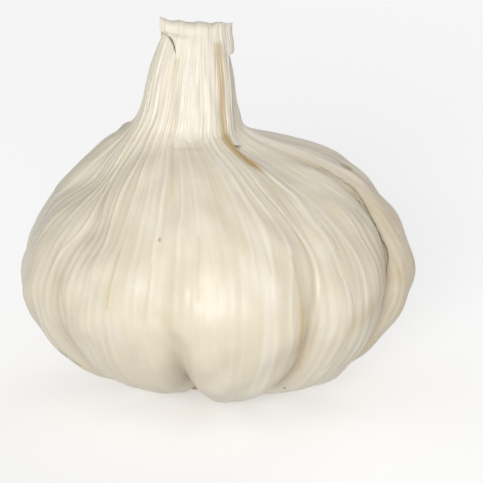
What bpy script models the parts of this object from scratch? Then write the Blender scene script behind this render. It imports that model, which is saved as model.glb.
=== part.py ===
"""A whole head of garlic, resting on its trimmed root plate.

The head is one closed body of cloves in their dry inner skin, drawn up into the neck. Over it lie
the torn remains of two outer wrapper leaves and the strip of leaf that is folded over the cut top
of the neck. The root plate sits in a recess underneath. All lengths below are in millimetres and
become metres when a mesh is made. Azimuth 0 is the front, towards -Y, and it grows towards +X.
"""

import bmesh
import bpy
import numpy as np

MM = 0.001

# Stations of the skin's profile, from the rim of the root plate up to the cut top of the neck: name,
# height, half width, half depth, centre x, centre y, depth of the furrows between cloves, their
# sharpness
STATIONS = (
    ("plate_rim", 2.4, 8.6, 8.6, 0.0, 0.0, 0.5, 2.5),
    ("seat", 1.5, 12.8, 12.3, 0.0, 0.0, 2.3, 3.2),
    ("lower_flank", 6.9, 24.1, 22.2, 0.0, 0.0, 1.9, 3.6),
    ("equator", 18.2, 30.5, 28.2, 0.2, 0.0, 1.5, 2.8),
    ("upper_flank", 29.3, 26.6, 24.6, 0.1, 0.0, 0.9, 2.4),
    ("shoulder", 37.4, 17.0, 16.6, -2.0, 0.5, 0.5, 2.0),
    ("throat", 41.4, 9.5, 8.8, -3.8, 0.5, 0.15, 2.0),
    ("neck_foot", 45.0, 7.2, 6.4, -3.6, 0.3, 0.0, 2.0),
    ("neck_waist", 51.5, 5.9, 4.4, -3.25, 0.1, 0.0, 2.0),
    ("neck_top", 57.6, 4.3, 2.6, -2.75, 0.1, 0.0, 2.0),
)

# Cloves: name, azimuth of the furrow before it, reach, lift of its shoulder, reach of its shoulder,
# droop of its bottom; then of that furrow, its strength underneath, its strength above the equator,
# and its lean in degrees a station
CLOVES = (
    ("front", -12.5, 0.2, 0.0, 0.0, 0.0, 1.8, 0.35, 0.0),
    ("front_right", 28.0, 0.0, -0.5, 0.5, 0.0, 1.1, 0.8, 2.0),
    ("right", 62.0, 0.2, -0.6, 3.0, 0.0, 1.5, 1.9, 6.0),
    ("right_back", 101.0, -0.4, -1.6, 6.2, 0.0, 1.3, 1.2, 0.0),
    ("back", 147.0, 0.0, -5.0, 0.2, 0.0, 1.1, 1.3, 0.0),
    ("back_left", 193.0, 0.0, 1.6, 0.6, 0.0, 1.4, 1.0, 0.0),
    ("left_back", 236.0, -0.4, 0.4, -0.9, 0.0, 1.2, 0.9, 0.0),
    ("left", 270.0, -0.1, -2.5, -1.4, 0.0, 1.1, 0.8, 0.0),
    ("front_left", 306.0, -0.8, 0.0, -0.8, -0.7, 0.8, 0.5, 0.0),
)
EQUATOR, LEAN_STATIONS = 3.0, 2.5  # the furrows lean from the equator up, over this many stations
UNDERSIDE = 1.6  # station up to which a furrow has its strength underneath
CLOVE_SPREAD = 16.0  # how quickly one clove's own sizes give way to the next one's

# How far each clove's own size acts at each station
REACH_AT = (0.0, 0.2, 0.7, 1.0, 0.8, 0.2, 0.0, 0.0, 0.0, 0.0)
LIFT_AT = (0.0, 0.0, 0.0, 0.0, 0.5, 1.0, 0.25, 0.0, 0.0, 0.0)
SHOULDER_AT = (0.0, 0.0, 0.0, 0.1, 0.35, 1.0, 0.1, 0.0, 0.0, 0.0)
DROOP_AT = (0.0, 1.0, 0.6, 0.0, 0.0, 0.0, 0.0, 0.0, 0.0, 0.0)

# Hollows where the skin hangs between a clove and the neck: name, azimuth, height, spread in degrees,
# spread in height, depth
HOLLOWS = (
    ("over_front_left_clove", -44.0, 30.0, 15.0, 3.4, 1.7),
    ("over_left_clove", -80.0, 33.0, 14.0, 3.0, 0.9),
    ("under_right_of_throat", 52.0, 38.0, 14.0, 3.0, 0.9),
)

FURROW_ROUNDING = 0.06  # share of a clove's half width over which the furrow's bottom is rounded
SLOPE_STEP = 0.01  # radians and stations between the points that give the skin's slope
SKIN_COLUMNS, SKIN_ROWS = 80, 34
RECESS_DEPTH, RECESS_TAPER = 1.0, 0.95
NECK_CROWN = 0.5  # rise of the cut neck's middle over its edge

LEAF_GAP, LEAF_THICKNESS = 0.62, 0.4
# Wrapper leaves: columns, rows, lower and upper station number, and the azimuths of their two edges
# at the bottom and at the top
FRONT_LEAF = {
    "columns": 50,
    "rows": 26,
    "stations": (1.75, 8.3),
    "low": (-168.0, 40.0),
    "high": (-118.0, 36.0),
}
RIGHT_LEAF = {"columns": 14, "rows": 18, "stations": (2.0, 5.3), "low": (43.0, 58.0), "high": (41.0, 74.0)}

# The strip folded over the neck: azimuths of its edges, stations of its foot and its bend, its gap to
# the neck, the bend's height over the neck's edge, its tilt across the width, how far its tail hangs
# down behind and how far it stands off there for each millimetre down
FOLD_EDGES = (-44.0, 78.0)
FOLD_FOOT, FOLD_HEAD = 6.5, 8.9
LEAF_TO_FOLD = 0.3
FOLD_GAP = LEAF_GAP + LEAF_THICKNESS + LEAF_TO_FOLD
FOLD_RISE, FOLD_TILT, FOLD_TAIL, TAIL_SPLAY = 1.5, 0.03, 3.5, 0.25
FOLD_COLUMNS, FOLD_FRONT_ROWS, FOLD_OVER_ROWS, FOLD_TAIL_ROWS = 12, 10, 9, 4

PLATE_RADIUS, PLATE_FOOT_RADIUS = 7.4, 6.6
PLATE_HEIGHT, ROOTS_HEIGHT = 2.9, 1.2
PLATE_SIDES, PLATE_BEVEL = 40, 0.3

SKIN_COLOUR, SKIN_ROUGHNESS = (0.80, 0.74, 0.60), 0.45
LEAF_COLOUR, LEAF_ROUGHNESS = (0.82, 0.76, 0.63), 0.5
FOLD_COLOUR, FOLD_ROUGHNESS = (0.80, 0.71, 0.58), 0.6
ROOT_COLOUR, ROOT_ROUGHNESS = (0.42, 0.31, 0.19), 0.85


def spline(rows, place):
    """Catmull-Rom curve through the last axis of rows, read at place, which counts stations from 0.

    rows is one row of station values for the whole grid, or a row for each point of it.
    """
    last = rows.shape[-1] - 1
    place = np.clip(place, 0.0, last)
    i = np.minimum(place.astype(int), last - 1)
    t = place - i
    rows = np.broadcast_to(rows, (*place.shape, last + 1))
    stations = (np.clip(i + k, 0, last)[..., None] for k in (-1, 0, 1, 2))
    before, here, there, after = (np.take_along_axis(rows, at, axis=-1)[..., 0] for at in stations)
    bend = (2 * before - 5 * here + 4 * there - after) * t + (3 * here - before - 3 * there + after) * t**2
    return here + 0.5 * t * (there - before + bend)


def station_column(column):
    """One column of the stations' table, as a row that spline can read."""
    return np.array([row[column] for row in STATIONS])


def furrow_share(azimuth, place):
    """How near each point is to a furrow, from 0 at a clove's middle to 1, and that furrow's strength."""
    lean = np.clip(place - EQUATOR, 0.0, LEAN_STATIONS)[..., None] * np.array([row[8] for row in CLOVES])
    furrows = np.radians(np.array([row[1] for row in CLOVES]) + lean)
    below, above = np.array([row[6] for row in CLOVES]), np.array([row[7] for row in CLOVES])
    since = (azimuth[..., None] - furrows) % (2 * np.pi)
    until = 2 * np.pi - since
    before, after = since.min(axis=-1), until.min(axis=-1)
    across = np.abs(before - after) / (before + after)
    nearest = np.where(before < after, since.argmin(axis=-1), until.argmin(axis=-1))
    climb = np.clip((place - UNDERSIDE) / (EQUATOR - UNDERSIDE), 0.0, 1.0)
    strength = below[nearest] + (above - below)[nearest] * climb
    rounded = np.sqrt((1 - across) ** 2 + FURROW_ROUNDING**2) - FURROW_ROUNDING
    full = np.sqrt(1 + FURROW_ROUNDING**2) - FURROW_ROUNDING
    return 1 - rounded / full, strength


def clove_sizes(azimuth):
    """Reach, lift, shoulder reach and droop at each azimuth, blended between the cloves' middles."""
    starts = np.radians([row[1] for row in CLOVES])
    ends = np.append(starts[1:], starts[0] + 2 * np.pi)
    weight = np.exp(CLOVE_SPREAD * (np.cos(azimuth[..., None] - (starts + ends) / 2) - 1))
    weight /= weight.sum(axis=-1, keepdims=True)
    return weight @ np.array([row[2:6] for row in CLOVES])


def taut_skin(azimuth, place):
    """The skin as if it were stretched over the cloves with no furrows, for grids of azimuth and place."""
    sizes = clove_sizes(azimuth)
    grow = sizes[..., :1] * np.array(REACH_AT) + sizes[..., 2:3] * np.array(SHOULDER_AT)
    rise = sizes[..., 1:2] * np.array(LIFT_AT) - sizes[..., 3:4] * np.array(DROOP_AT)
    half_width = spline(station_column(2) + grow, place)
    half_depth = spline(station_column(3) + grow, place)
    height = spline(station_column(1) + rise, place)
    x = spline(station_column(4), place) + half_width * np.sin(azimuth)
    y = spline(station_column(5), place) - half_depth * np.cos(azimuth)
    return np.stack([x, y, height], axis=-1)


def skin(azimuth, place, out=0.0):
    """Points of the skin, in millimetres, moved outwards by out."""
    here = taut_skin(azimuth, place)
    around = taut_skin(azimuth + SLOPE_STEP, place) - taut_skin(azimuth - SLOPE_STEP, place)
    along = taut_skin(azimuth, place + SLOPE_STEP) - taut_skin(azimuth, place - SLOPE_STEP)
    outward = np.cross(around, along)
    outward /= np.linalg.norm(outward, axis=-1, keepdims=True)
    share, strength = furrow_share(azimuth, place)
    depth = strength * spline(station_column(6), place) * share ** spline(station_column(7), place)
    for _, middle, height, spread, tall, deep in HOLLOWS:
        turn = (np.degrees(azimuth) - middle + 180) % 360 - 180
        depth = depth + deep * np.exp(-((turn / spread) ** 2) - ((here[..., 2] - height) / tall) ** 2)
    return here + outward * (out - depth)[..., None]


def material(name, colour, roughness):
    """A plain dry-skin material."""
    made = bpy.data.materials.new(name)
    made.use_nodes = True
    shader = made.node_tree.nodes["Principled BSDF"]
    shader.inputs["Base Color"].default_value = (*colour, 1.0)
    shader.inputs["Roughness"].default_value = roughness
    shader.inputs["Metallic"].default_value = 0.0
    return made


def finished(name, mesh_tool, finish):
    """An object of that name from a bmesh whose lengths are in millimetres."""
    bmesh.ops.scale(mesh_tool, vec=(MM, MM, MM), verts=mesh_tool.verts)
    mesh = bpy.data.meshes.new(name)
    mesh_tool.to_mesh(mesh)
    mesh_tool.free()
    mesh.shade_smooth()
    mesh.materials.append(finish)
    made = bpy.data.objects.new(name, mesh)
    bpy.context.scene.collection.objects.link(made)
    return made


def ring(mesh_tool, points):
    """A closed loop of edges through the points."""
    verts = [mesh_tool.verts.new(point) for point in points]
    return [mesh_tool.edges.new(pair) for pair in zip(verts, verts[1:] + verts[:1])]


def wrapped_bulb(finish):
    """The cloves in their inner skin, with the neck: rings bridged from recess to cut top."""
    azimuths = np.linspace(0, 2 * np.pi, SKIN_COLUMNS, endpoint=False)
    places = np.linspace(0, len(STATIONS) - 1, SKIN_ROWS)
    columns, rows = np.meshgrid(azimuths, places)
    loops = list(skin(columns, rows))
    recess = loops[0] * (RECESS_TAPER, RECESS_TAPER, 1.0) + (0.0, 0.0, RECESS_DEPTH)
    built = bmesh.new()
    rings = [ring(built, loop) for loop in [recess, *loops]]
    for lower, upper in zip(rings, rings[1:]):
        bmesh.ops.bridge_loops(built, edges=lower + upper)
    bmesh.ops.contextual_create(built, geom=rings[0])
    crown = bmesh.ops.contextual_create(built, geom=rings[-1])["faces"]
    middle = bmesh.ops.poke(built, faces=crown)["verts"]
    bmesh.ops.translate(built, vec=(0.0, 0.0, NECK_CROWN), verts=middle)
    bmesh.ops.recalc_face_normals(built, faces=built.faces)
    return finished("wrapped_bulb", built, finish)


def sheet(name, points, thickness, finish):
    """A leaf from a grid of points on its inner side, thickened outwards."""
    built = bmesh.new()
    verts = [[built.verts.new(point) for point in row] for row in points]
    for low, high in zip(verts, verts[1:]):
        for a, b, c, d in zip(low, low[1:], high[1:], high):
            built.faces.new((a, b, c, d))
    made = finished(name, built, finish)
    solidify = made.modifiers.new("thickness", "SOLIDIFY")
    solidify.thickness = thickness * MM
    solidify.offset = 1.0
    return made


def wrapper_leaf(name, leaf, finish):
    """A torn wrapper leaf that follows the skin between two edges."""
    across, up = np.meshgrid(np.linspace(0, 1, leaf["columns"]), np.linspace(0, 1, leaf["rows"]))
    first = leaf["low"][0] + (leaf["high"][0] - leaf["low"][0]) * up
    last = leaf["low"][1] + (leaf["high"][1] - leaf["low"][1]) * up
    azimuth = np.radians(first + (last - first) * across)
    place = leaf["stations"][0] + (leaf["stations"][1] - leaf["stations"][0]) * up
    return sheet(name, skin(azimuth, place, LEAF_GAP), LEAF_THICKNESS, finish)


def neck_fold(finish):
    """The strip of leaf up the front of the neck, over its cut top and a little way down behind."""
    edges = np.radians(np.linspace(*FOLD_EDGES, FOLD_COLUMNS))
    columns, rows = np.meshgrid(edges, np.linspace(FOLD_FOOT, FOLD_HEAD, FOLD_FRONT_ROWS))
    front = skin(columns, rows, FOLD_GAP)
    head = front[-1]
    middle = STATIONS[-1][5]
    turn = np.linspace(0, np.pi, FOLD_OVER_ROWS + 1)[1:, None, None]
    half = (middle - head[:, 1])[None, :, None]
    lift = FOLD_RISE - FOLD_TILT * (head[:, 0] - STATIONS[-1][4])
    over = np.concatenate(
        [
            np.broadcast_to(head[None, :, :1], (FOLD_OVER_ROWS, FOLD_COLUMNS, 1)),
            middle - half * np.cos(turn),
            head[None, :, 2:] + lift[None, :, None] * np.sin(turn),
        ],
        axis=-1,
    )
    drop = np.linspace(0, FOLD_TAIL, FOLD_TAIL_ROWS + 1)[1:, None, None] * (0.0, TAIL_SPLAY, -1.0)
    tail = over[-1:] + drop
    return sheet("neck_fold_leaf", np.concatenate([front, over, tail]), LEAF_THICKNESS, finish)


def root_plate(finish):
    """The flat basal plate over its close-cut brush of roots: stacked discs with bevelled edges."""
    built = bmesh.new()
    profile = (
        (PLATE_FOOT_RADIUS, 0.0),
        (PLATE_FOOT_RADIUS, ROOTS_HEIGHT),
        (PLATE_RADIUS, ROOTS_HEIGHT + PLATE_BEVEL),
        (PLATE_RADIUS, PLATE_HEIGHT - PLATE_BEVEL),
        (PLATE_RADIUS - PLATE_BEVEL, PLATE_HEIGHT),
    )
    angles = np.linspace(0, 2 * np.pi, PLATE_SIDES, endpoint=False)
    rings = [ring(built, [(r * np.cos(a), r * np.sin(a), z) for a in angles]) for r, z in profile]
    for lower, upper in zip(rings, rings[1:]):
        bmesh.ops.bridge_loops(built, edges=lower + upper)
    for end in (rings[0], rings[-1]):
        bmesh.ops.contextual_create(built, geom=end)
    bmesh.ops.recalc_face_normals(built, faces=built.faces)
    return finished("root_plate", built, finish)


def main():
    for old in list(bpy.data.objects):
        bpy.data.objects.remove(old)
    leaf_finish = material("wrapper_leaf", LEAF_COLOUR, LEAF_ROUGHNESS)
    wrapped_bulb(material("inner_skin", SKIN_COLOUR, SKIN_ROUGHNESS))
    wrapper_leaf("front_wrapper_leaf", FRONT_LEAF, leaf_finish)
    wrapper_leaf("right_wrapper_leaf", RIGHT_LEAF, leaf_finish)
    neck_fold(material("neck_leaf", FOLD_COLOUR, FOLD_ROUGHNESS))
    root_plate(material("root_plate", ROOT_COLOUR, ROOT_ROUGHNESS))


main()
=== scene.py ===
"""A whole head of garlic, dressed, standing on a pale floor in soft light.

It has the wrapped cloves, two torn wrapper leaves, the strip of leaf folded over the neck, and the
trimmed root plate.

Lengths in the tables are in millimetres. Azimuths are in degrees from the front, -Y, towards +X. A place
is a station number along the skin's profile, from the rim of the root plate, 0, to the cut top of the
neck, 9.
"""

import logging
from dataclasses import dataclass, field
from enum import Enum
from typing import Sequence

import bpy
import numpy as np
from mathutils import Matrix, Vector


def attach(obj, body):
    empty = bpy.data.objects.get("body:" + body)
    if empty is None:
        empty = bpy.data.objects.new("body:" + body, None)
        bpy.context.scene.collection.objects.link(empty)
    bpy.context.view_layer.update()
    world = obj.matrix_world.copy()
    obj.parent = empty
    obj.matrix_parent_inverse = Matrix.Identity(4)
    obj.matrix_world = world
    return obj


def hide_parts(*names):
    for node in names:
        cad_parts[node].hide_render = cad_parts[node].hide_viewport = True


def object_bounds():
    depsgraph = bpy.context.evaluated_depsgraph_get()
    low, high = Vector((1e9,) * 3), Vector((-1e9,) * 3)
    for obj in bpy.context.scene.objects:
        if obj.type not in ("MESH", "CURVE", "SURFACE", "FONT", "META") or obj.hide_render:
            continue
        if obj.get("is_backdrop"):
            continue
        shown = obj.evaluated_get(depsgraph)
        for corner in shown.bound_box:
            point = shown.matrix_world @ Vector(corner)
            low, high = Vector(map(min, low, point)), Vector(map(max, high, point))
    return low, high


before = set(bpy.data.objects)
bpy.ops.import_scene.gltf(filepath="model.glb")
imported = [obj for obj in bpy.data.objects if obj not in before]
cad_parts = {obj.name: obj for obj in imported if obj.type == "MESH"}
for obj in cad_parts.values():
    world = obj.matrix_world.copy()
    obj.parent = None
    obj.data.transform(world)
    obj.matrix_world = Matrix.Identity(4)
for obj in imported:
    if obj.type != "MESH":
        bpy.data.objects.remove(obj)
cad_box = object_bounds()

MM = 0.001
BODY = "root"
LOG = logging.getLogger("garlic_head")

Points = np.ndarray
Grid = np.ndarray

# Stations of the skin's profile: height, half width, half depth, centre x, centre y, depth of the furrows
# between cloves and their sharpness
STATIONS = np.array([
    (2.4, 8.6, 8.6, 0.0, 0.0, 0.5, 2.5),  # rim of the root plate
    (1.5, 12.8, 12.3, 0.0, 0.0, 2.3, 3.2),  # seat
    (6.9, 24.1, 22.2, 0.0, 0.0, 1.9, 3.6),  # lower flank
    (18.2, 30.5, 28.2, 0.2, 0.0, 1.5, 2.8),  # equator
    (29.3, 26.6, 24.6, 0.1, 0.0, 0.9, 2.4),  # upper flank
    (37.4, 17.0, 16.6, -2.0, 0.5, 0.5, 2.0),  # shoulder
    (41.4, 9.5, 8.8, -3.8, 0.5, 0.15, 2.0),  # throat
    (45.0, 7.2, 6.4, -3.6, 0.3, 0.0, 2.0),  # foot of the neck
    (51.5, 5.9, 4.4, -3.25, 0.1, 0.0, 2.0),  # waist of the neck
    (57.6, 4.3, 2.6, -2.75, 0.1, 0.0, 2.0),  # cut top of the neck
])

# Cloves, by the furrow before each: azimuth, reach, lift of the shoulder, reach of the shoulder, droop of
# the bottom, strength of the furrow underneath, its strength above the equator, its lean in degrees a
# station
CLOVES = np.array([
    (-12.5, 0.2, 0.0, 0.0, 0.0, 1.8, 0.35, 0.0),  # front
    (28.0, 0.0, -0.5, 0.5, 0.0, 1.1, 0.8, 2.0),  # front right
    (62.0, 0.2, -0.6, 3.0, 0.0, 1.5, 1.9, 6.0),  # right
    (101.0, -0.4, -1.6, 6.2, 0.0, 1.3, 1.2, 0.0),  # right back
    (147.0, 0.0, -5.0, 0.2, 0.0, 1.1, 1.3, 0.0),  # back
    (193.0, 0.0, 1.6, 0.6, 0.0, 1.4, 1.0, 0.0),  # back left
    (236.0, -0.4, 0.4, -0.9, 0.0, 1.2, 0.9, 0.0),  # left back
    (270.0, -0.1, -2.5, -1.4, 0.0, 1.1, 0.8, 0.0),  # left
    (306.0, -0.8, 0.0, -0.8, -0.7, 0.8, 0.5, 0.0),  # front left
])

# How far each clove's reach, lift, reach of shoulder and droop act at each station
REACH_AT = np.array([0.0, 0.2, 0.7, 1.0, 0.8, 0.2, 0.0, 0.0, 0.0, 0.0])
LIFT_AT = np.array([0.0, 0.0, 0.0, 0.0, 0.5, 1.0, 0.25, 0.0, 0.0, 0.0])
SHOULDER_AT = np.array([0.0, 0.0, 0.0, 0.1, 0.35, 1.0, 0.1, 0.0, 0.0, 0.0])
DROOP_AT = np.array([0.0, 1.0, 0.6, 0.0, 0.0, 0.0, 0.0, 0.0, 0.0, 0.0])

# Hollows where the skin hangs between a clove and the neck: azimuth, height, spread in degrees, spread in
# height, depth
HOLLOWS = (
    (-44.0, 30.0, 15.0, 3.4, 1.7),
    (-80.0, 33.0, 14.0, 3.0, 0.9),
    (52.0, 38.0, 14.0, 3.0, 0.9),
)


class Mark(Enum):
    """What a stroke leaves on the skin."""

    # Golden stains, and painted shade for some strokes
    GOLDEN_AND_SHADE = 0
    # Bruises, and painted shade for some strokes
    BRUISE_AND_SHADE = 1
    TORN = 2
    CREASE = 3


@dataclass(frozen=True)
class Stroke:
    """A soft line on the skin through given stops of azimuth and place."""

    mark: Mark
    stops: tuple[tuple[float, float], ...]
    width: float
    strength: float


@dataclass(frozen=True)
class Waves:
    """Smooth seamless noise of about unit spread over azimuth and length along the skin.

    It is a sum of cosines, each with a whole number of waves round the head, a number of waves per
    millimetre along it and a phase, all drawn from the seed, over the root of half their count.
    """

    around: tuple[int, int]
    along: tuple[float, float]
    seed: int
    count: int = 36

    def at(self, azimuth: Grid, along: Grid) -> Grid:
        """The noise's value.

        Args:
            azimuth: azimuths in radians.
            along: millimetres along the skin.

        Returns:
            A grid of values, mostly between -2 and 2.
        """
        rng = np.random.default_rng(self.seed)
        turns = rng.integers(self.around[0], self.around[1] + 1, self.count)
        rates = 2 * np.pi * rng.uniform(self.along[0], self.along[1], self.count)
        rates *= rng.choice((-1.0, 1.0), self.count)
        phases = rng.uniform(0, 2 * np.pi, self.count)
        total = np.zeros(np.broadcast(azimuth, along).shape)
        for turn, rate, phase in zip(turns, rates, phases):
            total += np.cos(turn * azimuth + rate * along + phase)
        return total / np.sqrt(self.count / 2)


def spline(rows: np.ndarray, place: Grid) -> Grid:
    """Catmull-Rom curve through the last axis of rows, read at place.

    Args:
        rows: station values, one row for the whole grid or a row for each of its points.
        place: station numbers, whole or broken.

    Returns:
        The curve's value at each place.
    """
    last = rows.shape[-1] - 1
    place = np.clip(place, 0.0, last)
    i = np.minimum(place.astype(int), last - 1)
    t = place - i
    rows = np.broadcast_to(rows, (*place.shape, last + 1))
    stations = (np.clip(i + k, 0, last)[..., None] for k in (-1, 0, 1, 2))
    before, here, there, after = (np.take_along_axis(rows, at, axis=-1)[..., 0] for at in stations)
    bend = (2 * before - 5 * here + 4 * there - after) * t + (3 * here - before - 3 * there + after) * t**2
    return here + 0.5 * t * (there - before + bend)


def degrees_from(middle: float, azimuth: Grid) -> Grid:
    """Degrees round from a middle azimuth, -180 to 180, for azimuths in radians."""
    return (np.degrees(azimuth) - middle + 180) % 360 - 180


def smooth(low: float, high: float, value: Grid) -> Grid:
    """Smooth step: 0 below low, 1 above high, and 3t squared less 2t cubed between."""
    t = np.clip((value - low) / (high - low), 0.0, 1.0)
    return t * t * (3 - 2 * t)


def through(stops: Sequence[tuple[float, float]], at: Grid) -> Grid:
    """Smooth curve through (position, value) stops: a Catmull-Rom curve over the stops' own numbering."""
    positions, values = np.array(stops, float).T
    return spline(values, np.interp(at, positions, np.arange(len(positions))))


@dataclass(frozen=True)
class SkinForm:
    """The skin's shape: a profile carried round the cloves, with furrows and hollows pressed in."""

    equator: float = 3.0
    underside: float = 1.6
    lean_stations: float = 2.5
    clove_spread: float = 16.0
    rounding: float = 0.06
    slope_step: float = 0.01

    def furrow_share(self, azimuth: Grid, place: Grid) -> tuple[Grid, Grid]:
        """Nearness to a furrow, one less the rounded distance from it over the clove's half width.

        Args:
            azimuth: azimuths in radians.
            place: station numbers.

        Returns:
            The nearness from 0 at a clove's middle to 1, and the nearest furrow's strength.
        """
        lean = np.clip(place - self.equator, 0.0, self.lean_stations)[..., None] * CLOVES[:, 7]
        since = (azimuth[..., None] - np.radians(CLOVES[:, 0] + lean)) % (2 * np.pi)
        until = 2 * np.pi - since
        before, after = since.min(axis=-1), until.min(axis=-1)
        across = np.abs(before - after) / (before + after)
        nearest = np.where(before < after, since.argmin(axis=-1), until.argmin(axis=-1))
        climb = np.clip((place - self.underside) / (self.equator - self.underside), 0.0, 1.0)
        strength = CLOVES[nearest, 5] + (CLOVES[nearest, 6] - CLOVES[nearest, 5]) * climb
        rounded = np.sqrt((1 - across) ** 2 + self.rounding**2) - self.rounding
        full = np.sqrt(1 + self.rounding**2) - self.rounding
        return 1 - rounded / full, strength

    def taut(self, azimuth: Grid, place: Grid) -> Points:
        """The skin stretched over the cloves: an ellipse at each place, its sizes blended by clove.

        Args:
            azimuth: azimuths in radians.
            place: station numbers.

        Returns:
            Points in millimetres, one for each place of the grid.
        """
        starts = np.radians(CLOVES[:, 0])
        ends = np.append(starts[1:], starts[0] + 2 * np.pi)
        weight = np.exp(self.clove_spread * (np.cos(azimuth[..., None] - (starts + ends) / 2) - 1))
        weight /= weight.sum(axis=-1, keepdims=True)
        sizes = weight @ CLOVES[:, 1:5]
        grow = sizes[..., :1] * REACH_AT + sizes[..., 2:3] * SHOULDER_AT
        rise = sizes[..., 1:2] * LIFT_AT - sizes[..., 3:4] * DROOP_AT
        x = spline(STATIONS[:, 3], place) + spline(STATIONS[:, 1] + grow, place) * np.sin(azimuth)
        y = spline(STATIONS[:, 4], place) - spline(STATIONS[:, 2] + grow, place) * np.cos(azimuth)
        return np.stack([x, y, spline(STATIONS[:, 0] + rise, place)], axis=-1)

    def outward(self, azimuth: Grid, place: Grid) -> Points:
        """Unit directions away from the taut skin: the cross product of its two slopes."""
        step = self.slope_step
        around = self.taut(azimuth + step, place) - self.taut(azimuth - step, place)
        along = self.taut(azimuth, place + step) - self.taut(azimuth, place - step)
        normal = np.cross(around, along)
        return normal / np.linalg.norm(normal, axis=-1, keepdims=True)

    def surface(self, azimuth: Grid, place: Grid, out: Grid | float = 0.0) -> Points:
        """The skin with its furrows and hollows, moved outwards.

        Each furrow is its strength times the station's depth times the nearness to the power of the
        station's sharpness, and each hollow is a bell over azimuth and height.

        Args:
            azimuth: azimuths in radians.
            place: station numbers.
            out: millimetres outwards.

        Returns:
            Points in millimetres.
        """
        here = self.taut(azimuth, place)
        share, strength = self.furrow_share(azimuth, place)
        depth = strength * spline(STATIONS[:, 5], place) * share ** spline(STATIONS[:, 6], place)
        for middle, height, spread, tall, deep in HOLLOWS:
            turn = degrees_from(middle, azimuth)
            depth = depth + deep * np.exp(-((turn / spread) ** 2) - ((here[..., 2] - height) / tall) ** 2)
        return here + self.outward(azimuth, place) * (out - depth)[..., None]

    def along(self, place: Grid) -> Grid:
        """Millimetres along the mean profile from the rim of the root plate."""
        steps = np.hypot(np.diff(STATIONS[:, 0]), np.diff(STATIONS[:, 1]))
        return np.interp(place, np.arange(len(STATIONS)), np.append(0.0, np.cumsum(steps)))

    def radius(self, place: Grid) -> Grid:
        """Mean half width of the profile at each place, in millimetres."""
        return spline((STATIONS[:, 1] + STATIONS[:, 2]) / 2, place)


FORM = SkinForm()


def stroke_strength(stroke: Stroke, azimuth: Grid, place: Grid) -> Grid:
    """How strongly a stroke marks each point: a bell of the distance to the line through its stops.

    Distances are measured on the skin unrolled, with azimuth times the local radius across and the length
    along the profile up.

    Args:
        stroke: the stroke.
        azimuth: azimuths in radians.
        place: station numbers.

    Returns:
        The stroke's strength times a value from 0 to 1.
    """
    radius, along = FORM.radius(place), FORM.along(place)
    nearest = np.full(azimuth.shape, np.inf)
    stops = np.array(stroke.stops, float)
    ends = stops[1:] if len(stops) > 1 else stops
    for start, end in zip(stops, ends):
        turn = (azimuth - np.radians(start[0]) + np.pi) % (2 * np.pi) - np.pi
        x, y = turn * radius, along - FORM.along(start[1])
        span_x = np.radians(end[0] - start[0]) * radius
        span_y = FORM.along(end[1]) - FORM.along(start[1])
        t = np.clip((x * span_x + y * span_y) / np.maximum(span_x**2 + span_y**2, 1e-9), 0.0, 1.0)
        nearest = np.minimum(nearest, np.hypot(x - t * span_x, y - t * span_y))
    return stroke.strength * np.exp(-((nearest / stroke.width) ** 2))


@dataclass(frozen=True)
class Veins:
    """Raised veins that run from the neck to the root plate, with the skin slack between them.

    Vein azimuths are spread evenly, shifted at random, and sway together along the skin. A vein stands up
    as a bell of the distance from it and dies away below the place where it ends. The skin between two
    veins sinks as four t times one less t. Strong veins have their own azimuth, strength and end.
    """

    count: int
    width: float
    seed: int
    sway: float = 0.012
    ends: tuple[float, float] = (0.0, 0.0)
    strong: tuple[tuple[float, float, float], ...] = ()

    def at(self, azimuth: Grid, place: Grid) -> tuple[Grid, Grid, Grid]:
        """Ridge, slack and tone at each point.

        Args:
            azimuth: azimuths in radians.
            place: station numbers.

        Returns:
            The ridge, from 0 to the vein's strength; the slack, from 0 at a vein to its cell's own depth
            half way to the next; and the cell's own tone from 0 to 1, fading to 0 at its veins.
        """
        rng = np.random.default_rng(self.seed)
        lines = np.arange(self.count) + rng.uniform(0.12, 0.88, self.count)
        lines = lines * 2 * np.pi / self.count - np.pi
        power = rng.beta(1.2, 2.4, self.count)
        ends = rng.uniform(*self.ends, self.count)
        table = np.stack([lines, power, ends, rng.uniform(0.15, 1.0, self.count)], axis=-1)
        if self.strong:
            own = np.array([(np.radians(turn), force, end, 0.7) for turn, force, end in self.strong])
            clear = np.abs(lines[:, None] - own[:, 0]).min(axis=1) > 0.25 * 2 * np.pi / self.count
            table = np.concatenate([table[clear], own])
        table = table[np.argsort(table[:, 0])]
        turn = np.array([2 * np.pi, 0.0, 0.0, 0.0])
        lines, power, ends, cell = np.concatenate([table[-1:] - turn, table, table[:1] + turn]).T
        along = FORM.along(place)
        sway = self.sway * Waves((3, 14), (0.01, 0.05), self.seed + 1, 18).at(azimuth, along)
        turned = (azimuth + sway + np.pi) % (2 * np.pi) - np.pi
        after = np.clip(np.searchsorted(lines, turned), 1, len(lines) - 1)
        left, right = turned - lines[after - 1], lines[after] - turned
        radius = FORM.radius(place)
        ridge = np.maximum(*(
            power[line] * smooth(-0.7, 0.5, place - ends[line]) * np.exp(-((gap * radius / self.width) ** 2))
            for line, gap in ((after - 1, left), (after, right))
        ))
        t = left / (left + right)
        slack = 4 * t * (1 - t)
        tone = (cell[after] * 7.3) % 1.0 * smooth(0.0, 0.45, slack)
        return ridge, slack * cell[after], tone


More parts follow.
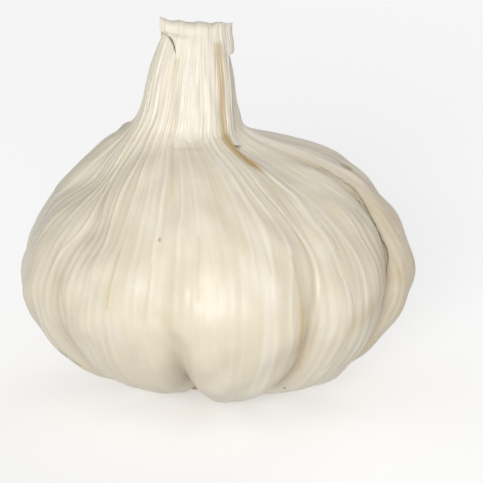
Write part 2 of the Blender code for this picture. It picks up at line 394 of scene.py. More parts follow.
@dataclass(frozen=True)
class Relief:
    """The fine form on a skin: main veins, fine veins, dents, long ripples and listed creases.

    Each calm area is an azimuth, a place, a spread in degrees, a spread in stations and the share of the
    veins that it takes away.
    """

    main: Veins
    fine: Veins
    strokes: tuple[Stroke, ...] = ()
    seed: int = 3
    ridge_at: tuple[float, ...] = (0.0, 0.02, 0.03, 0.045, 0.09, 0.15, 0.15, 0.1, 0.07, 0.06)
    slack_at: tuple[float, ...] = (0.02, 0.05, 0.08, 0.1, 0.13, 0.17, 0.13, 0.08, 0.05, 0.04)
    fine_at: tuple[float, ...] = (0.0, 0.0, 0.004, 0.006, 0.02, 0.05, 0.075, 0.085, 0.075, 0.065)
    dent_at: tuple[float, ...] = (0.05, 0.1, 0.14, 0.15, 0.14, 0.1, 0.07, 0.06, 0.06, 0.05)
    calm: tuple[tuple[float, float, float, float, float], ...] = ()
    fine_slack: float = 0.5
    dent_share: float = 0.62
    ripple_share: float = 0.16
    fine_tint: float = 0.25
    fine_tint_from: tuple[float, float] = (4.0, 6.0)

    def at(self, azimuth: Grid, place: Grid) -> tuple[Grid, Grid, Grid]:
        """Height of the fine form, nearness to a vein and tone between the veins.

        Args:
            azimuth: azimuths in radians.
            place: station numbers.

        Returns:
            Millimetres outwards, the vein mask and the tone, both from 0 to 1.
        """
        ridge, slack, tone = self.main.at(azimuth, place)
        fine, fine_slack, _ = self.fine.at(azimuth, place)
        along = FORM.along(place)
        dents = Waves((4, 26), (0.02, 0.14), self.seed).at(azimuth, along)
        ripples = Waves((50, 130), (0.0, 0.03), self.seed + 1).at(azimuth, along)
        height = spline(np.array(self.ridge_at), place) * ridge
        height -= spline(np.array(self.slack_at), place) * slack
        height += spline(np.array(self.fine_at), place) * (fine - self.fine_slack * fine_slack)
        for middle, level, wide, tall, share in self.calm:
            aside = degrees_from(middle, azimuth)
            bell = np.exp(-((aside / wide) ** 2) - ((place - level) / tall) ** 2)
            height = height * (1 - share * bell)
        dented = self.dent_share * dents + self.ripple_share * ripples
        height += spline(np.array(self.dent_at), place) * dented
        for stroke in self.strokes:
            if stroke.mark is Mark.CREASE:
                height = height - stroke_strength(stroke, azimuth, place)
        vein = np.clip(ridge + self.fine_tint * fine * smooth(*self.fine_tint_from, place), 0.0, 1.0)
        return height, vein, tone


# Marks that age and handling left on the head, with painted shade in hollows, in furrows and along the
# neck strip's edge among the golden and bruise strokes
STROKES = (
    Stroke(Mark.GOLDEN_AND_SHADE, ((38.0, 8.6), (37.0, 7.5), (36.0, 6.7), (35.5, 5.9), (36.0, 5.4)), 0.6, 0.75),
    Stroke(Mark.GOLDEN_AND_SHADE, ((35.5, 6.0), (35.2, 5.6), (36.5, 5.3)), 0.9, 0.8),
    # Painted shadow along the neck strip's left edge, with a warm brown line there
    Stroke(Mark.GOLDEN_AND_SHADE, ((-19.0, 6.2), (-21.5, 7.4), (-24.5, 8.3)), 0.35, 0.35),
    Stroke(Mark.GOLDEN_AND_SHADE, ((24.0, 3.9), (25.0, 2.6)), 0.35, 0.4),
    # Painted shade: a wide darker band beside the furrow before the front right clove
    Stroke(Mark.GOLDEN_AND_SHADE, ((26.0, 3.2), (27.0, 2.3)), 1.6, 0.3),
    # Painted shade: a wide darker band low on the front right clove
    Stroke(Mark.GOLDEN_AND_SHADE, ((57.5, 3.5), (52.0, 3.1), (43.0, 2.95)), 2.0, 0.4),
    Stroke(Mark.GOLDEN_AND_SHADE, ((-32.5, 3.9), (-32.0, 3.2)), 0.25, 0.4),
    Stroke(Mark.GOLDEN_AND_SHADE, ((-19.5, 3.8), (-20.0, 3.1)), 0.25, 0.3),
    Stroke(Mark.GOLDEN_AND_SHADE, ((-4.5, 4.2), (-5.0, 3.4)), 0.25, 0.32),
    Stroke(Mark.GOLDEN_AND_SHADE, ((15.0, 4.8), (16.0, 3.7)), 0.22, 0.3),
    Stroke(Mark.GOLDEN_AND_SHADE, ((-52.0, 3.9), (-50.0, 3.0)), 0.22, 0.28),
    Stroke(Mark.GOLDEN_AND_SHADE, ((112.0, 4.9), (104.0, 5.0)), 2.5, 0.3),
    # Painted shadow in the hollow between the neck and the front right shoulder
    Stroke(Mark.BRUISE_AND_SHADE, ((41.0, 5.35), (45.0, 5.0)), 1.5, 0.4),
    Stroke(Mark.BRUISE_AND_SHADE, ((55.0, 4.6), (58.0, 4.2)), 1.3, 0.28),
    # Painted shade in the hollow above the front left clove
    Stroke(Mark.BRUISE_AND_SHADE, ((-48.0, 4.0), (-42.0, 4.15)), 1.8, 0.3),
    # Painted shade in the crease across the foot of the neck
    Stroke(Mark.BRUISE_AND_SHADE, ((-12.0, 5.86), (9.0, 5.84)), 1.2, 0.2),
    Stroke(Mark.BRUISE_AND_SHADE, ((22.0, 4.35), (23.0, 4.1)), 0.7, 0.2),
    Stroke(Mark.TORN, ((-18.0, 4.12), (-18.0, 4.12)), 0.22, 1.0),
    Stroke(Mark.TORN, ((99.0, 4.85), (103.0, 4.75)), 0.35, 1.0),
    Stroke(Mark.TORN, ((-66.0, 2.35), (-60.0, 2.0)), 0.2, 0.8),
    Stroke(Mark.CREASE, ((-16.0, 3.15), (-10.0, 2.7), (-12.0, 1.9)), 1.4, 0.45),
    Stroke(Mark.CREASE, ((-12.0, 5.86), (9.0, 5.84)), 0.5, 0.1),
    Stroke(Mark.CREASE, ((99.0, 4.85), (103.0, 4.75)), 0.45, 0.5),
)

# Veins that stand out on the front and on the right leaf: azimuth, strength and the place where each ends
FRONT_VEINS = (
    (-66.0, 0.8, 4.2), (-57.0, 1.0, 3.4), (-48.0, 0.8, 4.4), (-40.0, 0.6, 3.0), (-33.0, 0.9, 4.3),
    (-26.0, 0.6, 4.6), (-19.0, 0.9, 3.2), (-11.0, 0.9, 3.9), (-4.5, 0.6, 3.4), (4.0, 0.5, 4.8),
    (12.0, 0.5, 3.6), (22.5, 0.9, 2.8), (30.0, 0.6, 2.2), (39.0, 1.0, 3.2), (46.0, 0.5, 3.8),
)
RIGHT_VEINS = ((46.0, 0.6, 3.4), (53.0, 0.5, 3.2), (60.0, 0.4, 3.8))


@dataclass(frozen=True)
class DrySkin:
    """Dry papery skin: colours for its body, streaks and marks, a painted highlight on its veins, painted
    shade, and its sheen and grain.

    The fibre attribute is the skin wrapped on a drum, so noise stretched along it runs in unbroken
    fibres. The marks attribute holds the golden, bruise and torn masks; the golden and bruise masks also
    carry painted shade in hollows, in furrows and along the neck strip's edge. The form attribute holds the
    vein mask, which paints a highlight on the raised veins, the painted shade mask for furrows, recesses
    and inner faces, and the straw mask, and the cover attribute the combed, tan and tone masks.
    """

    name: str
    body: tuple[float, float, float] = (0.82, 0.742, 0.585)
    pale: tuple[float, float, float] = (0.93, 0.875, 0.755)
    cream: tuple[float, float, float] = (0.76, 0.67, 0.49)
    streak: tuple[float, float, float] = (0.62, 0.52, 0.36)
    # Painted shade in furrows, recesses and on inner faces
    painted_shade: tuple[float, float, float] = (0.36, 0.26, 0.14)
    straw: tuple[float, float, float] = (0.90, 0.815, 0.70)
    # Golden stains, also painted shade in a furrow, a darker band and along the neck strip's edge
    golden_and_shade: tuple[float, float, float] = (0.50, 0.34, 0.13)
    # Bruises, also painted shade in hollows and in a crease at the neck's foot
    bruise_and_shade: tuple[float, float, float] = (0.48, 0.40, 0.31)
    torn: tuple[float, float, float] = (0.24, 0.19, 0.075)
    tan: tuple[float, float, float] = (0.74, 0.585, 0.37)
    roughness: tuple[float, float] = (0.31, 0.52)
    bump: float = 0.5
    bump_depth: float = 0.00016
    subsurface: float = 0.12

    def material(self) -> bpy.types.Material:
        """Builds the node material."""
        made = NodeMaterial(self.name)
        fibre = made.attribute("fibre")
        golden_and_shade, bruised_and_shaded, torn = made.split(made.attribute("marks"))
        vein, painted_shade, straw = made.split(made.attribute("form"))
        combed, tanned, tone = made.split(made.attribute("cover"))
        streaks = made.noise(fibre, 1.0, 5.0, 0.62, 0.15)
        hairs = made.noise(made.stretch(fibre, (3.1, 3.1, 0.55)), 1.0, 3.0, 0.6, 0.0)
        clouds = made.noise(made.object_place(), 130.0, 3.0, 0.55, 0.4)
        crinkle = made.noise(made.object_place(), 1500.0, 3.0, 0.6, 0.8)

        broken = made.ramp(streaks, 0.25, 0.65, 0.55, 1.0)
        colour = self.body
        for tint, share in (
            (self.pale, made.ramp(tone, 0.45, 1.0, 0.0, 0.55)),
            (self.cream, made.ramp(tone, 0.4, 0.0, 0.0, 0.3)),
            (self.tan, tanned),
            (self.straw, straw),
            (self.pale, made.ramp(clouds, 0.45, 0.72, 0.0, 0.5)),
            (self.streak, made.product(made.ramp(streaks, 0.48, 0.70, 0.0, 0.6), combed)),
            (self.pale, made.product(made.ramp(hairs, 0.50, 0.72, 0.0, 0.8), combed)),
            # Painted shade in the furrows, the recess, the neck's cup and on the leaves' inner faces
            (self.painted_shade, made.ramp(painted_shade, 0.0, 1.0, 0.0, 0.9)),
            # Painted highlight: paler along the raised veins
            (self.pale, made.ramp(vein, 0.1, 0.9, 0.0, 0.45)),
            # Bruises, and painted shade in hollows and a crease
            (self.bruise_and_shade, made.product(bruised_and_shaded, broken)),
            # Golden stains, and painted shade in a furrow, a darker band and along the strip's edge
            (self.golden_and_shade, made.product(golden_and_shade, broken)),
            (self.torn, torn),
        ):
            colour = made.mix(colour, tint, share)

        grain = made.ramp(streaks, 0.0, 1.0, 0.0, 1.0)
        for noise, height in ((hairs, 0.45), (crinkle, 0.18)):
            grain = made.total(grain, made.ramp(noise, 0.0, 1.0, 0.0, height))
        made.set("Base Color", colour)
        made.set("Roughness", made.ramp(streaks, 0.3, 0.7, *self.roughness))
        made.set("Normal", made.bumped(grain, self.bump, self.bump_depth))
        made.set("Subsurface Weight", self.subsurface)
        made.set("Subsurface Radius", (1.0, 0.75, 0.5))
        made.set("Subsurface Scale", 0.0012)
        made.set("Specular IOR Level", 0.42)
        made.set("Sheen Weight", 0.06)
        made.set("Sheen Roughness", 0.5)
        return made.material


class NodeMaterial:
    """A Principled material under construction, with short calls for the nodes that the finishes use."""

    def __init__(self, name: str) -> None:
        """Starts an empty material with its shader and output."""
        self.material = bpy.data.materials.new(name)
        self.material.use_nodes = True
        self.nodes = self.material.node_tree.nodes
        self.links = self.material.node_tree.links
        self.shader = self.nodes["Principled BSDF"]

    def add(self, kind: str, **settings: object) -> bpy.types.Node:
        """A new node of that kind with its properties set."""
        node = self.nodes.new(kind)
        for key, value in settings.items():
            setattr(node, key, value)
        return node

    def feed(self, socket: bpy.types.NodeSocket, value: object) -> None:
        """Links a socket, or writes a number or colour into it, with alpha 1 where one is missing."""
        if isinstance(value, bpy.types.NodeSocket):
            self.links.new(value, socket)
        elif isinstance(value, tuple) and socket.type == "RGBA" and len(value) == 3:
            socket.default_value = (*value, 1.0)
        else:
            socket.default_value = value

    def set(self, name: str, value: object) -> None:
        """Feeds one of the shader's sockets, or sets a constant on it."""
        self.feed(self.shader.inputs[name], value)

    def attribute(self, name: str) -> bpy.types.NodeSocket:
        """The piece's own vector attribute."""
        return self.add("ShaderNodeAttribute", attribute_name=name).outputs["Vector"]

    def object_place(self) -> bpy.types.NodeSocket:
        """Object coordinates, in metres."""
        return self.add("ShaderNodeTexCoord").outputs["Object"]

    def split(self, vector: bpy.types.NodeSocket) -> list[bpy.types.NodeSocket]:
        """The three parts of a vector."""
        node = self.add("ShaderNodeSeparateXYZ")
        self.feed(node.inputs[0], vector)
        return list(node.outputs)

    def stretch(
        self, vector: bpy.types.NodeSocket, scale: tuple[float, float, float]
    ) -> bpy.types.NodeSocket:
        """A vector scaled along each axis."""
        node = self.add("ShaderNodeMapping")
        self.feed(node.inputs["Vector"], vector)
        self.feed(node.inputs["Scale"], scale)
        return node.outputs["Vector"]

    def noise(
        self, vector: bpy.types.NodeSocket, scale: float, detail: float, rough: float, warp: float
    ) -> bpy.types.NodeSocket:
        """Fractal noise.

        Args:
            vector: where it is read.
            scale: its size.
            detail: number of octaves.
            rough: strength of each octave against the one before.
            warp: distortion.

        Returns:
            The noise's factor, about 0.5 on average.
        """
        node = self.add("ShaderNodeTexNoise")
        for name, value in (
            ("Vector", vector),
            ("Scale", scale),
            ("Detail", detail),
            ("Roughness", rough),
            ("Distortion", warp),
        ):
            self.feed(node.inputs[name], value)
        return node.outputs["Fac"]

    def ramp(
        self, value: bpy.types.NodeSocket, low: float, high: float, start: float, end: float
    ) -> bpy.types.NodeSocket:
        """Straight clamped map of low to high onto start to end.

        Args:
            value: the value to map.
            low: value that gives start.
            high: value that gives end.
            start: result at low.
            end: result at high.

        Returns:
            The mapped value.
        """
        node = self.add("ShaderNodeMapRange")
        for name, number in (
            ("Value", value), ("From Min", low), ("From Max", high), ("To Min", start), ("To Max", end)
        ):
            self.feed(node.inputs[name], number)
        return node.outputs["Result"]

    def mix(self, first: object, second: object, share: object) -> bpy.types.NodeSocket:
        """Blend of two colours by a share from 0 to 1."""
        node = self.add("ShaderNodeMix", data_type="RGBA")
        for socket, value in ((node.inputs[0], share), (node.inputs[6], first), (node.inputs[7], second)):
            self.feed(socket, value)
        return node.outputs[2]

    def maths(self, operation: str, first: object, second: object) -> bpy.types.NodeSocket:
        """Result of a two-number operation."""
        node = self.add("ShaderNodeMath", operation=operation)
        self.feed(node.inputs[0], first)
        self.feed(node.inputs[1], second)
        return node.outputs[0]

    def product(self, first: object, second: object) -> bpy.types.NodeSocket:
        """Product of two numbers."""
        return self.maths("MULTIPLY", first, second)

    def total(self, first: object, second: object) -> bpy.types.NodeSocket:
        """Sum of two numbers."""
        return self.maths("ADD", first, second)

    def bumped(self, height: bpy.types.NodeSocket, strength: float, depth: float) -> bpy.types.NodeSocket:
        """Normals of a bump of that depth in metres."""
        node = self.add("ShaderNodeBump")
        self.feed(node.inputs["Height"], height)
        self.feed(node.inputs["Strength"], strength)
        self.feed(node.inputs["Distance"], depth)
        return node.outputs["Normal"]


@dataclass(frozen=True)
class Cork:
    """Dry corky plate and cut roots: brown with paler fibres and dark pits."""

    name: str
    body: tuple[float, float, float] = (0.40, 0.29, 0.17)
    pale: tuple[float, float, float] = (0.62, 0.50, 0.34)
    dark: tuple[float, float, float] = (0.15, 0.10, 0.06)
    grain: float = 900.0
    roughness: tuple[float, float] = (0.7, 0.95)

    def material(self) -> bpy.types.Material:
        """Builds the node material."""
        made = NodeMaterial(self.name)
        place = made.object_place()
        fibres = made.noise(made.stretch(place, (1.0, 1.0, 0.25)), self.grain, 4.0, 0.65, 0.3)
        patches = made.noise(place, self.grain / 4, 2.0, 0.5, 0.2)
        colour = made.mix(self.body, self.pale, made.ramp(fibres, 0.48, 0.7, 0.0, 0.9))
        colour = made.mix(colour, self.dark, made.ramp(patches, 0.52, 0.72, 0.0, 0.8))
        made.set("Base Color", colour)
        made.set("Roughness", made.ramp(fibres, 0.3, 0.7, *self.roughness))
        made.set("Normal", made.bumped(fibres, 0.8, 0.0002))
        return made.material


@dataclass
class Shell:
    """A mesh under construction: points in millimetres, arrays of corners, and vector attributes."""

    points: Points
    polygons: list[np.ndarray]
    attributes: dict[str, np.ndarray] = field(default_factory=dict)

    def build(self, name: str, finish: bpy.types.Material, sharp: float = 50.0) -> bpy.types.Object:
        """Makes the object, smooth but for edges sharper than an angle.

        Args:
            name: the object's name.
            finish: its material.
            sharp: degrees between faces past which an edge stays sharp.

        Returns:
            The object, at the origin.
        """
        mesh = bpy.data.meshes.new(name)
        corners = np.concatenate([part.reshape(-1) for part in self.polygons])
        sizes = np.concatenate([np.full(len(part), part.shape[1]) for part in self.polygons])
        mesh.vertices.add(len(self.points))
        mesh.vertices.foreach_set("co", (self.points * MM).astype(np.float32).reshape(-1))
        mesh.loops.add(len(corners))
        mesh.loops.foreach_set("vertex_index", corners.astype(np.int32))
        mesh.polygons.add(len(sizes))
        mesh.polygons.foreach_set("loop_start", (np.cumsum(sizes) - sizes).astype(np.int32))
        mesh.update(calc_edges=True)
        mesh.validate()
        for key, values in self.attributes.items():
            layer = mesh.attributes.new(key, "FLOAT_VECTOR", "POINT")
            layer.data.foreach_set("vector", values.astype(np.float32).reshape(-1))
        mesh.shade_smooth()
        mesh.set_sharp_from_angle(angle=np.radians(sharp))
        mesh.materials.append(finish)
        made = bpy.data.objects.new(name, mesh)
        bpy.context.scene.collection.objects.link(made)
        return made


def quads(index: np.ndarray, closed: bool = False) -> np.ndarray:
    """Quads of a grid of point numbers, whose rows go up and columns anticlockwise seen from outside.

    Args:
        index: point numbers, rows by columns.
        closed: whether the last column joins the first.

    Returns:
        One row of four corners for each quad.
    """
    if closed:
        index = np.concatenate([index, index[:, :1]], axis=1)
    low, high = index[:-1], index[1:]
    return np.stack([low[:, :-1], low[:, 1:], high[:, 1:], high[:, :-1]], axis=-1).reshape(-1, 4)


# How strongly each tint shows along the profile, as stops of place and share
# Painted shade in the furrows: strongest near the seat, gone at the throat
PAINTED_SHADE_AT = ((0, 0.5), (1, 0.6), (3, 0.4), (5, 0.1), (6, 0.0), (9, 0.0))
STRAW_AT = ((0, 0.0), (5.0, 0.0), (6.0, 0.1), (7.0, 0.35), (8.0, 0.5), (9, 0.7))
COMBED_AT = ((0, 0.3), (3, 0.22), (4, 0.4), (5.2, 0.9), (6, 1.0), (9, 1.0))
TANNED_AT = ((0, 0.5), (2, 0.8), (4, 0.85), (5, 0.5), (6, 0.0), (9, 0.0))

TANNED_AZIMUTH, TANNED_SPREAD = 84, 19  # the clove whose bare skin is tan
# How narrowly the painted shade keeps to the furrows
PAINTED_SHADE_SHARPNESS = 8
FIBRE_DRUM, FIBRE_SHORTENING = 12.5, 0.045


def fibre_map(azimuth: Grid, place: Grid) -> np.ndarray:
    """The skin wrapped on a drum: sine and cosine of azimuth times its radius, and a shortened length."""
    length = FIBRE_SHORTENING * FORM.along(place)
    return np.stack([FIBRE_DRUM * np.sin(azimuth), FIBRE_DRUM * np.cos(azimuth), length], axis=-1)


def skin_attributes(
    azimuth: Grid, place: Grid, vein: Grid, tone: Grid, torn: Grid | float = 0.0, shade: Grid | float = 0.0
) -> dict[str, np.ndarray]:
    """The fibre, marks, form and cover attributes at each point.

    Args:
        azimuth: azimuths in radians.
        place: station numbers.
        vein: vein mask from 0 to 1.
        tone: tone between the veins from 0 to 1.
        torn: torn-edge mask from 0 to 1.
        shade: more painted shade, added to the painted shade of the furrows.

    Returns:
        Vector attributes by name: the drum map; the golden, bruise and torn masks, the first two also
        painted shade; the vein, painted shade and straw masks; and the combed, tan and tone masks.
    """
    masks = [np.zeros(azimuth.shape) for _ in range(3)]
    for stroke in STROKES:
        if stroke.mark is not Mark.CREASE:
            masks[stroke.mark.value] = masks[stroke.mark.value] + stroke_strength(stroke, azimuth, place)
    masks[Mark.TORN.value] = masks[Mark.TORN.value] + torn
    along = FORM.along(place)
    share, strength = FORM.furrow_share(azimuth, place)
    # Painted shade in the furrows between cloves
    painted_shade = share**PAINTED_SHADE_SHARPNESS * strength * through(PAINTED_SHADE_AT, place)
    straw = through(STRAW_AT, place) * (0.75 + 0.2 * Waves((2, 9), (0.0, 0.05), 71).at(azimuth, along))
    combed = through(COMBED_AT, place) * (0.8 + 0.25 * Waves((2, 12), (0.0, 0.06), 73).at(azimuth, along))
    bare = np.exp(-((degrees_from(TANNED_AZIMUTH, azimuth) / TANNED_SPREAD) ** 2))
    tanned = bare * through(TANNED_AT, place)
    made = {"fibre": fibre_map(azimuth, place)}
    for key, three in (
        ("marks", masks),
        ("form", (vein, painted_shade + shade, straw)),
        ("cover", (combed, tanned, tone)),
    ):
        made[key] = np.stack([np.clip(part, 0.0, 1.0) for part in three], axis=-1)
    return made


def claim(piece: bpy.types.Object, node: str) -> bpy.types.Object:
    """Ties a finished piece to the frame and logs it.

    Args:
        piece: the finished piece.
        node: the CAD node that it stands for.

    Returns:
        The same piece.
    """
    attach(piece, BODY)
    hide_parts(node)
    LOG.info("%s: %d points, stands for %s", piece.name, len(piece.data.vertices), node)
    return piece


@dataclass
class WrappedBulb:
    """The cloves in their inner skin, with the neck: closed rings from the recess to the cupped top."""

    columns: int = 440
    rows: int = 205
    recess_rows: int = 4
    cup_rows: int = 10
    recess_depth: float = 1.0
    recess_taper: float = 0.95
    top_place: float = 8.92
    cup_depth: float = 1.5
    exposed: tuple[float, float] = (35.0, 195.0)
    exposed_density: float = 2.2
    relief: Relief = Relief(
        main=Veins(52, 0.5, 21, ends=(3.6, 5.6)),
        fine=Veins(170, 0.25, 22),
        strokes=STROKES,
        seed=31,
        ridge_at=(0.0, 0.02, 0.04, 0.03, 0.03, 0.04, 0.06, 0.08, 0.08, 0.06),
        slack_at=(0.02, 0.08, 0.12, 0.08, 0.06, 0.05, 0.05, 0.05, 0.05, 0.05),
        fine_at=(0.0, 0.01, 0.01, 0.0, 0.0, 0.005, 0.02, 0.05, 0.06, 0.06),
    )

    def azimuths(self) -> np.ndarray:
        """Columns spaced more closely where no leaf covers the skin: the inverse of the summed density."""
        fine = np.linspace(-np.pi, np.pi, 2001)
        turn = np.degrees(fine) % 360
        density = 1 + (self.exposed_density - 1) * smooth(self.exposed[0] - 8, self.exposed[0], turn) * (
            1 - smooth(self.exposed[1], self.exposed[1] + 8, turn)
        )
        summed = np.append(0.0, np.cumsum((density[1:] + density[:-1]) / 2))
        wanted = np.linspace(0, summed[-1], self.columns, endpoint=False)
        return np.interp(wanted, summed, fine)

    def shell(self) -> Shell:
        """Rings of skin with its relief, a tapered recess below and a cup in the neck above."""
        places = np.interp(np.linspace(0, 1, self.rows), (0, 0.12, 0.8, 1), (0.0, 1.4, 6.2, self.top_place))
        azimuth, place = np.meshgrid(self.azimuths(), places)
        height, vein, tone = self.relief.at(azimuth, place)
        height = height * smooth(0.0, 0.8, place)
        skin = FORM.surface(azimuth, place, height)
        ring = skin[0]
        up = np.linspace(1, 0, self.recess_rows, endpoint=False)[:, None, None]
        recess = ring * (1 - (1 - self.recess_taper) * up) * (1, 1, 0) + (0, 0, 1) * (
            ring[:, 2:] + self.recess_depth * up
        )
        top = skin[-1]
        middle = top.mean(axis=0)
        turn = np.linspace(0, 1, self.cup_rows + 1)[1:, None, None]
        inward = middle + (top - middle) * (1 - 0.16 * turn**0.5 - 0.5 * turn**3)
        cup = inward - (0, 0, 1) * (self.cup_depth * turn**1.3)
        points = np.concatenate([recess, skin, cup])
        count = points.shape[0] * self.columns
        index = np.arange(count).reshape(points.shape[0], self.columns)
        floor = np.append(points.reshape(-1, 3), [recess[0].mean(axis=0), cup[-1].mean(axis=0)], axis=0)
        low = np.stack([np.full(self.columns, count), np.roll(index[0], -1), index[0]], axis=-1)
        high = np.stack([np.full(self.columns, count + 1), index[-1], np.roll(index[-1], -1)], axis=-1)
        pad = ((self.recess_rows, self.cup_rows), (0, 0))
        grids = (np.pad(part, pad, mode="edge") for part in (azimuth, place, vein, tone))
        azimuth, place, vein, tone = grids
        # Painted shade: darker in the recess under the bulb, and darker deeper into the neck's cup
        inside = np.zeros(place.shape)
        inside[: self.recess_rows] = 0.6
        inside[-self.cup_rows :] = np.linspace(0.3, 1.0, self.cup_rows)[:, None]
        extra = skin_attributes(azimuth, place, vein, tone, shade=inside)
        flat = {key: np.append(part.reshape(-1, 3), part[[0, -1], 0], axis=0) for key, part in extra.items()}
        return Shell(floor, [quads(index, closed=True), low, high], flat)

    def build(self, finish: bpy.types.Material) -> bpy.types.Object:
        """Makes the piece."""
        return claim(self.shell().build("bulb_skin", finish), "wrapped_bulb")


@dataclass
class Sheet:
    """A thin leaf: a fine outer face, a thin rim, and a lining with fewer columns, all closed."""

    outer: Points
    inner: Points
    lining_step: int

    def polygons(self) -> tuple[Points, list[np.ndarray], np.ndarray]:
        """Joins the outer grid to the lining.

        The lining keeps every row but only every few columns. Its lowest and highest rows keep all
        columns, and each is joined to the next row by polygons that take in the columns between.

        Returns:
            The points, the polygons, and for each point its number in the flattened outer grid.
        """
        rows, columns = self.outer.shape[:2]
        step = self.lining_step
        grid = np.arange(rows * columns).reshape(rows, columns)
        kept = np.zeros((rows, columns), bool)
        kept[[0, -1]] = True
        kept[:, ::step] = True
        source = np.concatenate([grid.reshape(-1), grid[kept]])
        lining = np.full((rows, columns), -1)
        lining[kept] = rows * columns + np.arange(kept.sum())
        coarse = lining[:, ::step]
        faces = [quads(grid), quads(coarse[1:-1])[:, ::-1]]
        for edge, next_row, turn in ((lining[0], coarse[1], 1), (lining[-1], coarse[-2], -1)):
            spans = np.lib.stride_tricks.sliding_window_view(edge, step + 1)[::step]
            joined = np.concatenate([spans, next_row[1:, None], next_row[:-1, None]], axis=1)
            faces.append(joined[:, ::-1] if turn > 0 else joined)
        for near, far in (
            (lining[0], grid[0]),
            (grid[-1], lining[-1]),
            (grid[:, 0], lining[:, 0]),
            (lining[:, -1], grid[:, -1]),
        ):
            faces.append(quads(np.stack([near, far])))
        points = np.concatenate([self.outer.reshape(-1, 3), self.inner[kept]])
        return points, faces, source


@dataclass
class WrapperLeaf:
    """A torn wrapper leaf on the skin: outline by azimuth and place, lift, tears, relief and lining."""

    name: str
    node: str
    slot: str
    left: tuple[tuple[float, float], ...]
    right: tuple[tuple[float, float], ...]
    low: tuple[tuple[float, float], ...]
    high: tuple[tuple[float, float], ...]
    stand_off: tuple[tuple[float, float], ...]
    relief: Relief
    columns: int
    rows: int
    lining_step: int
    thickness: float = 0.16
    lining_depth: float = 0.45
    edge_widths: tuple[float, float, float, float] = (3.5, 0.0, 3.5, 0.0)
    edge_gap: float = 0.25
    right_lift: tuple[tuple[float, float], ...] = ((0, 0.0), (9, 0.0))
    lift_width: float = 1.3
    torn_right: tuple[tuple[float, float], ...] = ((0, 0.0), (9, 0.0))
    torn_width: float = 0.38
    rim_width: float = 1.5
    edge_relief: float = 0.4
    tear_size: float = 0.16
    seed: int = 41

    def grid(self) -> tuple[Grid, Grid]:
        """Azimuth and place over the leaf.

        The place runs from the torn lower edge to the upper one. The azimuth runs from the left edge to
        the right edge at that place. Every edge wavers by seeded noise.

        Returns:
            Azimuth in radians, and place.
        """
        across, up = np.meshgrid(np.linspace(0, 1, self.columns), np.linspace(0, 1, self.rows))
        low, high = through(self.low, across), through(self.high, across)
        mean = np.radians(self.left[0][1] + (self.right[0][1] - self.left[0][1]) * across)
        ragged = Waves((20, 160), (0.0, 0.01), self.seed + 2).at(mean, across)
        low = low + 0.03 * ragged
        high = high + 0.03 * Waves((20, 120), (0.0, 0.01), self.seed + 3).at(mean * 3, across)
        place = low + (high - low) * up
        along, radius = FORM.along(place), FORM.radius(place)
        sides = []
        for number, edge in enumerate((self.left, self.right)):
            level = np.full(place.shape, 0.3)
            waver = Waves((0, 1), (0.01, 0.22), self.seed + 5 + number).at(level, along)
            waver += 0.35 * Waves((0, 1), (0.2, 0.9), self.seed + 8 + number).at(level, along)
            sides.append(np.radians(through(edge, place)) + self.tear_size * waver / radius)
        azimuth = sides[0] + (sides[1] - sides[0]) * across
        return azimuth, place

    def shell(self) -> Shell:
        """The outer face on the skin, eased down to it near the edges and lifted where it is torn."""
        azimuth, place = self.grid()
        radius, along = FORM.radius(place), FORM.along(place)
        height, vein, tone = self.relief.at(azimuth, place)
        to_right = (azimuth[:, -1:] - azimuth) * radius
        to_left = (azimuth - azimuth[:, :1]) * radius
        to_low, to_high = along - along[:1], along[-1:] - along
        eased = np.ones(place.shape)
        for width, gap in zip(self.edge_widths, (to_left, to_right, to_low, to_high)):
            if width:
                eased = eased * smooth(0.0, width, gap)
        out = through(self.stand_off, place)
        out = self.edge_gap + (out - self.edge_gap) * eased
        out = out + through(self.right_lift, place) * np.exp(-((to_right / self.lift_width) ** 2))
        out = out + height * (self.edge_relief + (1 - self.edge_relief) * eased)
        torn = through(self.torn_right, place) * np.exp(-((to_right / self.torn_width) ** 2))
        outer = FORM.surface(azimuth, place, out)
        nearest = np.minimum(np.minimum(to_left, to_right), np.minimum(to_low, to_high))
        rim = smooth(0.0, self.rim_width, nearest)
        inner = FORM.surface(azimuth, place, out - self.thickness - self.lining_depth * eased * rim)
        points, faces, source = Sheet(outer, inner, self.lining_step).polygons()
        extra = skin_attributes(azimuth, place, vein, tone, np.clip(torn, 0.0, 1.0))
        flat = {key: part.reshape(-1, 3)[source] for key, part in extra.items()}
        # Painted shade on the lining, the leaf's inner face
        flat["form"][azimuth.size :, 1] = 0.7
        return Shell(points, faces, flat)

    def build(self, finish: bpy.types.Material) -> bpy.types.Object:
        """Makes the piece."""
        return claim(self.shell().build(self.name, finish), self.node)


